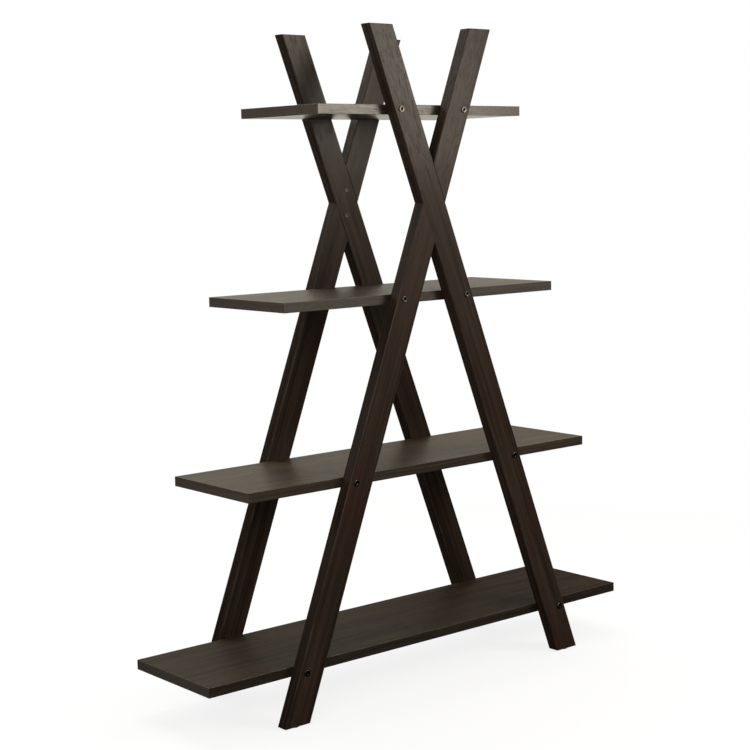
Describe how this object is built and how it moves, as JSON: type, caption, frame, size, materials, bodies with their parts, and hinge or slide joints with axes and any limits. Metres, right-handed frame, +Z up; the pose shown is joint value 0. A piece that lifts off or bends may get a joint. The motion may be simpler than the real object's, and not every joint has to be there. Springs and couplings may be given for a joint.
{
  "type": "bookcase",
  "caption": "Free-standing open bookcase: shelves that lengthen downwards, bolted between a crossed-leg frame at the front and another at the back.",
  "frame": {"origin": "on the floor, under the middle of the bookcase", "axes": "+Z up, +X along the shelves to the right as seen from the front, front faces -Y"},
  "size_m": [1.25, 0.345, 1.5],
  "materials": {
    "leg_wood": "dark espresso stain, satin lacquer",
    "shelf_wood": "dark espresso veneer, satin lacquer",
    "edging_wood": "dark espresso veneer strip, satin lacquer",
    "bolt_steel": "black oxide, lightly oiled",
    "nut_steel": "bright zinc plating",
    "dowel_wood": "bare beech",
    "glide_plastic": "black moulded plastic"
  },
  "bodies": {
    "root": {"front_leg_left": "leg_wood", "front_leg_right": "leg_wood", "rear_leg_left": "leg_wood", "rear_leg_right": "leg_wood", "top_shelf": "shelf_wood", "upper_shelf": "shelf_wood", "lower_shelf": "shelf_wood", "bottom_shelf": "shelf_wood", "top_shelf_edging": "edging_wood", "upper_shelf_edging": "edging_wood", "lower_shelf_edging": "edging_wood", "bottom_shelf_edging": "edging_wood", "top_shelf_bolts": "bolt_steel", "upper_shelf_bolts": "bolt_steel", "lower_shelf_bolts": "bolt_steel", "bottom_shelf_bolts": "bolt_steel", "top_shelf_barrel_nuts": "nut_steel", "upper_shelf_barrel_nuts": "nut_steel", "lower_shelf_barrel_nuts": "nut_steel", "bottom_shelf_barrel_nuts": "nut_steel", "top_shelf_dowels": "dowel_wood", "upper_shelf_dowels": "dowel_wood", "lower_shelf_dowels": "dowel_wood", "bottom_shelf_dowels": "dowel_wood", "front_crossing_screws": "bolt_steel", "rear_crossing_screws": "bolt_steel", "foot_glides": "glide_plastic"}
  },
  "joints": []
}
